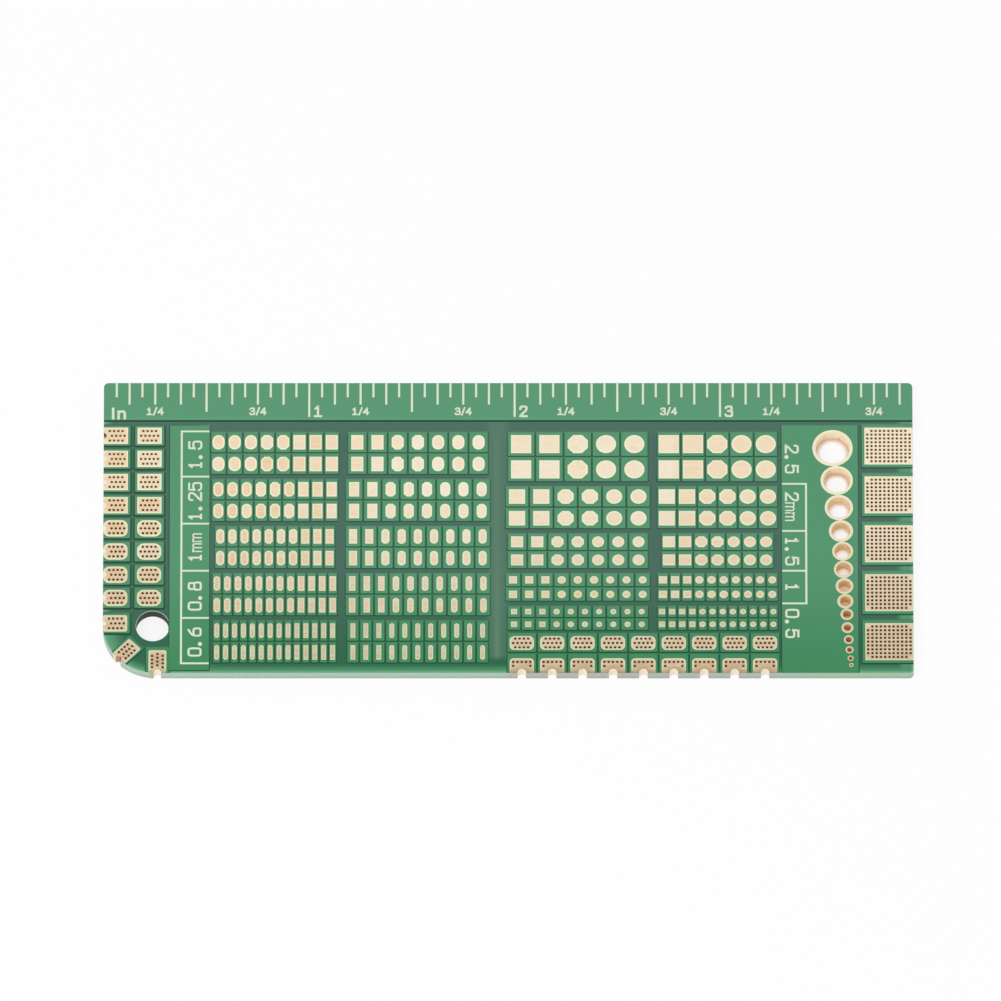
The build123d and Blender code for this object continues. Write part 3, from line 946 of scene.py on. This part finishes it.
# %% The sheet of glass fibre with its coat
MOUNTING_RADIUS, MOUNTING_SIDES = 2.05 * MM, 72
sheet = board_plate(UNDER_COAT, COAT_ON_SHEET)
hole = bmesh.new()
drill(hole, LEFT + MOUNTING_FROM_LEFT * MM, NEAR + MOUNTING_FROM_NEAR * MM, MOUNTING_RADIUS,
      MOUNTING_SIDES, material=2)
sheet = cut_by(sheet, hole, sheet_drills, windows)
for face in sheet.faces:
    if abs(face.normal.z) > 0.5:
        face.material_index = 0
    elif face.material_index != 2:
        face.material_index = 1
rim_of_hole = [edge for edge in sheet.edges if edge.verts[0].co.z > SHEET_TOP / 2
               and {face.material_index for face in edge.link_faces} == {0, 2}]
bmesh.ops.bevel(sheet, geom=rim_of_hole, offset=0.06 * MM, offset_type="OFFSET", segments=1, profile=0.5,
                affect="EDGES", material=1)
finish_piece(sheet, "sheet_with_coat", [RESIST_SHEET, CUT_SHEET, DRILLED_SHEET], ["board"])

# %% [markdown]
# ## Copper under the coat
#
# Larger areas of copper lie under the coat too: the strip that carries the inch scale, the
# two strips with the sizes, and a tile round each pierced pad. They are tiles of other
# sizes, trimmed to the board's outline and drilled like the sheet.

# %% Strips and tiles of coated copper
coated = bmesh.new()


def coated_area(x0, x1, y0, y1, slope=SLOPE):
    """Coated copper between two places. Past the board's outline it is trimmed later."""
    add_copy(coated, tile_shape(x1 - x0, y1 - y0, slope), ((x0 + x1) / 2, (y0 + y1) / 2))


def coated_column(boxes, x0, x1, length, slope):
    """Coated copper round each pad of a column, from one X to another."""
    for box in boxes:
        y = middle_and_size(box)[0].y
        coated_area(x0, x1, y - length / 2, y + length / 2, slope)


OVER = 0.5 * MM
STRIP_SLOPE = 0.25 * MM
SCALE_STRIP = 5.12 * MM
STRIPS_END = SCALE_EDGE - 5.9 * MM
coated_area(LEFT - OVER, RIGHT + OVER, SCALE_EDGE - SCALE_STRIP, SCALE_EDGE + OVER, STRIP_SLOPE)
coated_area(LEFT + 8.2 * MM, LEFT + 13.1 * MM, NEAR + 0.35 * MM, STRIPS_END)
coated_area(LEFT + 83.8 * MM, LEFT + 93.2 * MM, NEAR - OVER, STRIPS_END)

END_TILE, END_TILE_REACH, END_SLOPE = 2.7 * MM, 3.3 * MM, 0.24 * MM
LARGE_TILE, LARGE_TILE_REACH, LARGE_SLOPE = 5.86 * MM, 6.3 * MM, 0.16 * MM
middle, size = middle_and_size(inner_boxes[0])
half_tile = size.x / 2 + 0.28 * MM
coated_column(inner_boxes, middle.x - half_tile, middle.x + half_tile, END_TILE, END_SLOPE)
coated_column(end_boxes, LEFT - OVER, LEFT + END_TILE_REACH, END_TILE, END_SLOPE)
coated_column(large_boxes, RIGHT - LARGE_TILE_REACH, RIGHT + OVER, LARGE_TILE, LARGE_SLOPE)

NEAR_TILES = (SCALE_EDGE - 37.1 * MM, SCALE_EDGE - 34.55 * MM)
EDGE_TILES = (NEAR - OVER, SCALE_EDGE - 37.4 * MM)
half_pitch = (HALF_HOLE_PITCH * MM - GROOVE) / 2
for box in near_boxes:
    x = middle_and_size(box)[0].x
    coated_area(x - half_pitch, x + half_pitch, *NEAR_TILES)
    coated_area(x - half_pitch, x + half_pitch, *EDGE_TILES)
HALF_FOOT_TILE, FOOT_TILE_REACH, CORNER_TILE = 1.42 * MM, 3.5 * MM, (3.5 * MM, 2.4 * MM)
x = foot_middle.x
coated_area(x - HALF_FOOT_TILE, x + HALF_FOOT_TILE, NEAR - OVER, NEAR + FOOT_TILE_REACH)
add_copy(coated, tile_shape(*CORNER_TILE), corner_edge - outward * 1.4 * MM, turn=math.radians(45))

trimmer = board_plate(-BEYOND, PAD_TOP + BEYOND)
coated = cut_by(coated, trimmer, operation="INTERSECT")
coated = cut_by(coated, sheet_drills, windows)
finish_piece(coated, "coated_copper_areas", [RESIST_COPPER, RESIST_EDGE])

# %% [markdown]
# ## Print
#
# The strokes of the inch scale and the frames beside the fields are measured. Ink pressed
# through a screen is thin along its border, where the green shows through. So an inset
# gives the top of each stroke a narrow border.

# %% Strokes and frames with a thin border
def printed(name, border):
    """The measured print with a border of thin ink."""
    mesh = measured_mesh(name)
    bmesh.ops.dissolve_limit(mesh, angle_limit=0.02, verts=mesh.verts, edges=mesh.edges)
    tops = [face for face in mesh.faces if face.normal.z > 0.9]
    bmesh.ops.inset_region(mesh, faces=tops, thickness=border, depth=0.0, use_boundary=True)
    for face in set(mesh.faces) - set(tops):
        face.material_index = 1
    finish_piece(mesh, f"{name}_print", [PRINT, THIN_PRINT], [name])


printed("ruler_scale", 0.03 * MM)
printed("label_frame_left", 0.05 * MM)
printed("label_frame_right", 0.05 * MM)

# %% [markdown]
# The figures are added to the measured print. They are drawn with a round pen, one stroke
# after the other, like the lettering of a drawing machine. A text object could be used
# too, but a pen gives the plain strokes and the foot under the 1 that such print has.

# %% Characters as pen strokes on a square of 100 by 100
def stroke(closed, smoothness, *places):
    """One stroke through places given as X, Y, X, Y and so on. A smoothness of 2 is straight."""
    points = [(x / 100, y / 100) for x, y in zip(places[::2], places[1::2])]
    return closed, smoothness, points


line, bow, ring = partial(stroke, False, 2), partial(stroke, False, 3), partial(stroke, True, 3)
CHARACTERS = {
    "0": [ring(0, 30, 0, 70, 5, 100, 50, 100, 95, 100, 100, 70, 100, 30, 95, 0, 50, 0, 5, 0)],
    "1": [line(50, 0, 50, 100), line(48, 98, 12, 78), line(2, 0, 98, 0)],
    "2": [bow(2, 74, 2, 100, 50, 100, 98, 100, 100, 70, 80, 50, 30, 25, 2, 2), line(0, 0, 100, 0)],
    "3": [bow(4, 84, 10, 100, 50, 100, 94, 100, 94, 76, 94, 54, 40, 54),
          bow(40, 54, 100, 54, 100, 27, 100, 0, 50, 0, 6, 0, 0, 16)],
    "4": [line(72, 0, 72, 100), line(68, 96, -10, 32), line(-10, 30, 100, 30)],
    "5": [line(92, 100, 10, 100), line(10, 100, 6, 56),
          bow(6, 56, 30, 66, 60, 66, 100, 64, 100, 32, 100, 0, 50, 0, 10, 0, 0, 20)],
    "6": [bow(78, 100, 30, 84, 0, 56, 0, 30),
          ring(0, 30, 2, 58, 50, 60, 98, 58, 100, 30, 98, 0, 50, 0, 2, 0)],
    "8": [ring(8, 78, 10, 100, 50, 100, 90, 100, 92, 78, 90, 54, 50, 54, 10, 54),
          ring(0, 28, 2, 54, 50, 54, 98, 54, 100, 28, 98, 0, 50, 0, 2, 0)],
    "m": [line(-2, 0, -2, 66), bow(-2, 46, 2, 64, 26, 66, 48, 64, 50, 46, 50, 36, 50, 0),
          bow(50, 46, 54, 64, 78, 66, 100, 64, 102, 46, 102, 36, 102, 0)],
    "n": [line(0, 0, 0, 70), bow(0, 40, 4, 70, 50, 72, 96, 70, 100, 40, 100, 30, 100, 0)],
    "I": [line(10, 0, 10, 100)],
    "/": [line(18, -6, 82, 106)],
    ".": [ring(4, 5, 24, 17, 44, 5, 24, -7)],
}
FINER = {"m": 0.68}
print("characters:", " ".join(CHARACTERS))


# %% [markdown]
# The strokes of a text become one curve with a round bevel. As a mesh it is a bundle of
# thin tubes, and flattened in Z they are a low bead of ink, rounded at its sides. The m is
# written with a finer pen, so that its legs stay apart.

# %% A text as a flat bead of ink
PRINT_MIDDLE = SHEET_TOP + 0.0115 * MM
PRINT_HALF = 0.0085 * MM


def lengthened(points, by):
    """The points with the first and last moved outwards, as a round pen reaches past them."""
    first = points[0] + (points[0] - points[1]).normalized() * by
    last = points[-1] + (points[-1] - points[-2]).normalized() * by
    return [first, *points[1:-1], last]


def pen_curve(text, width, height, pitch, pen):
    """All the strokes of a text as one curve, with its middle at X 0, Y 0."""
    curve = bpy.data.curves.new("pen", "CURVE")
    curve.dimensions = "3D"
    curve.bevel_depth = pen / 2
    curve.bevel_resolution = 1
    curve.resolution_u = 3
    curve.use_fill_caps = True
    start = -(pitch * (len(text) - 1) + width) / 2
    for number, character in enumerate(text):
        for layer, (closed, order, points) in enumerate(CHARACTERS[character]):
            path = [Vector((start + number * pitch + x * width, (y - 0.5) * height, layer * pen * 0.05))
                    for x, y in points]
            if not closed:
                path = lengthened(path, pen * 0.4)
            spline = curve.splines.new("NURBS" if order > 2 else "POLY")
            spline.points.add(len(path) - 1)
            for point, place in zip(spline.points, path):
                point.co = (*place, 1)
                point.radius = FINER.get(character, 1.0)
            spline.use_cyclic_u = closed
            spline.order_u = order
            spline.use_endpoint_u = not closed
    return curve


def penned(text, *sizes):
    """The text as a flat bead of ink, in millimetres. The last size is the pen's."""
    shape = baked(add_object("pen", pen_curve(text, *(size * MM for size in sizes))))
    shape.transform(Matrix.Diagonal((1, 1, 2 * PRINT_HALF / (sizes[-1] * MM), 1)))
    shape.transform(Matrix.Translation((0, 0, PRINT_MIDDLE)))
    return shape


# %% The figures of the inch scale
def write(mesh, text, pen, x, below, turn=0):
    """Adds a text at X, so many millimetres below the edge with the scale, turned in degrees."""
    add_copy(mesh, penned(text, *pen), (x, SCALE_EDGE - below * MM), turn=math.radians(turn))


# Each pen has the width, the height and the pitch of its characters, and then its own width.
SMALL_PEN = (0.53, 0.86, 0.70, 0.25)
LARGE_PEN = (0.80, 1.34, 0.85, 0.33)
UNIT_PEN = (0.76, 1.34, 0.76, 0.37)
STROKES_PER_INCH = 16
QUARTERS = {4: "1/4", 12: "3/4"}
FIGURES_BELOW, UNIT_BELOW = 3.91, 4.22
strokes = sorted((low.x + high.x) / 2 for low, high in solids_of("ruler_scale"))
figures = bmesh.new()
for number, x in enumerate(strokes, start=1):
    inches, part = divmod(number, STROKES_PER_INCH)
    if part in QUARTERS:
        write(figures, QUARTERS[part], SMALL_PEN, x, FIGURES_BELOW)
    if part == 0:
        write(figures, str(inches), LARGE_PEN, x + 1.09 * MM, FIGURES_BELOW)
write(figures, "In", UNIT_PEN, LEFT + 1.84 * MM, UNIT_BELOW)
face_outwards(figures)
finish_piece(figures, "scale_figures", [PRINT])

# %% The sizes beside the fields
# The 1 of these sizes has a shorter foot than the 1 of the scale. Each size is given with
# how many millimetres its middle lies below the edge with the scale.
CHARACTERS["1"] = [line(50, 0, 50, 100), line(48, 98, 24, 78), line(26, 0, 74, 0)]
SIZE_PEN = (1.01, 1.48, 1.375, 0.31)
LEFT_SIZES = (("1.5", 9.98), ("1.25", 16.4), ("1mm", 22.76), ("0.8", 29.43), ("0.6", 35.76))
RIGHT_SIZES = (("2.5", 10.5), ("2mm", 17.1), ("1.5", 23.2), ("1", 28.2), ("0.5", 33.2))
sizes = bmesh.new()
for column, from_left, turn in ((LEFT_SIZES, 11.33, 90), (RIGHT_SIZES, 85.06, -90)):
    for text, below in column:
        write(sizes, text, SIZE_PEN, LEFT + from_left * MM, below, turn)
face_outwards(sizes)
finish_piece(sizes, "pad_size_figures", [PRINT])

# %% [markdown]
# ## Floor, light and camera
#
# The board lies on a plain white floor under an even white sky, with one large soft lamp
# above it, to the left and in front. The floor shows white to the camera and in reflections,
# but part of it stays an ordinary surface, so that it keeps the board's shadow. Where it
# is seen through a plated hole or a via, painted shade and a painted reflection of the gold
# round it turn it brown, the deeper the narrower the hole. The mounting hole has no gold,
# and there it stays white.

# %% Floor
SHARE_OF_PLAIN_WHITE = 0.87
SHADED_UNDER_BOARD = 0.08


def floor_finish():
    floor = Finish("white_floor", roughness=0.9, colour=(132, 86, 58))
    floor.feed("Base Color", paint(250, 250, 250))
    path = floor.node("ShaderNodeLightPath")
    seen, glossy, through = (Value(floor, path.outputs[f"Is {ray} Ray"])
                             for ray in ("Camera", "Glossy", "Transmission"))
    seen = seen.larger(glossy).larger(through)
    x, y = floor.place()[:2]
    from_edge = edge_distance(x, y)
    share = SHARE_OF_PLAIN_WHITE - from_edge.rise(0.0, 1.0) * SHADED_UNDER_BOARD
    hole_x = x - left_mm - MOUNTING_FROM_LEFT
    hole_y = y - near_mm - MOUNTING_FROM_NEAR
    from_mounting_hole = (hole_x * hole_x + hole_y * hole_y).root()
    in_gold = from_edge.rise(0.55, 0.62).larger(x.rise(45.0, 46.0) * from_edge.rise(0.0, 0.1))
    in_gold = in_gold * from_mounting_hole.rise(2.2, 2.4)
    # Painted shade and painted reflection of the gold: where little of the sky reaches the floor, in the
    # holes and vias, its colour goes brown, and so does the white it shows to the camera.
    occlusion = floor.node("ShaderNodeAmbientOcclusion", {"Distance": 1.3 * MM}, samples=8)
    sky = Value(floor, occlusion.outputs["AO"])
    sky = sky - y.rise(-6.0, 13.0) * 0.2
    sky = sky.larger(1 - in_gold)
    floor.layer(sky.rise(0.0, 0.1), 184, 122, 78)
    floor.layer(sky.rise(0.1, 0.3), 212, 160, 118)
    floor.layer(sky.rise(0.34, 0.5), 255, 255, 255)
    white = floor.node("ShaderNodeEmission", {"Color": floor.colour, "Strength": 1.0})
    mixed = floor.node("ShaderNodeMixShader", {0: seen * share,
                                               1: floor.shader.outputs[0], 2: white.outputs[0]})
    floor.join(mixed.outputs[0], floor.tree.nodes["Material Output"].inputs["Surface"])
    return floor.material


ground = bmesh.new()
bmesh.ops.create_grid(ground, x_segments=1, y_segments=1, size=3.0)
floor_mesh = keep_shape(ground, "floor")
floor_mesh.materials.append(floor_finish())
add_object("floor", floor_mesh)

# %% Light
SKY_STRENGTH = 0.78
LAMP_WIDTH, LAMP_WATTS, LAMP_PLACE = 0.5, 1.6, (-0.35, -0.30, 0.65)
world = bpy.data.worlds.new("white_sky")
world.use_nodes = True
sky = world.node_tree.nodes["Background"].inputs
sky["Color"].default_value = (1, 1, 1, 1)
sky["Strength"].default_value = SKY_STRENGTH
bpy.context.scene.world = world

lamp_data = bpy.data.lights.new("soft_lamp", "AREA")
lamp_data.shape = "DISK"
lamp_data.size = LAMP_WIDTH
lamp_data.energy = LAMP_WATTS
lamp = add_object("soft_lamp", lamp_data)
lamp.location = LAMP_PLACE
lamp.rotation_euler = (-lamp.location).to_track_quat("-Z", "Y").to_euler()

# %% Camera
ELEVATION = math.radians(63.4)
DISTANCE = 5.0
SEEN_WIDTH = 123.66 * MM
SENSOR = 36.0
aim = Vector((-0.946 * MM, 3.74 * MM, PAD_TOP))
camera_data = bpy.data.cameras.new("camera")
camera_data.sensor_width = SENSOR
camera_data.lens = SENSOR * DISTANCE / SEEN_WIDTH
camera = add_object("camera", camera_data)
direction = Vector((0, -math.cos(ELEVATION), math.sin(ELEVATION)))
camera.location = aim + direction * DISTANCE
camera.rotation_euler = (math.pi / 2 - ELEVATION, 0, 0)
bpy.context.scene.camera = camera
bpy.context.scene.view_settings.view_transform = "Standard"
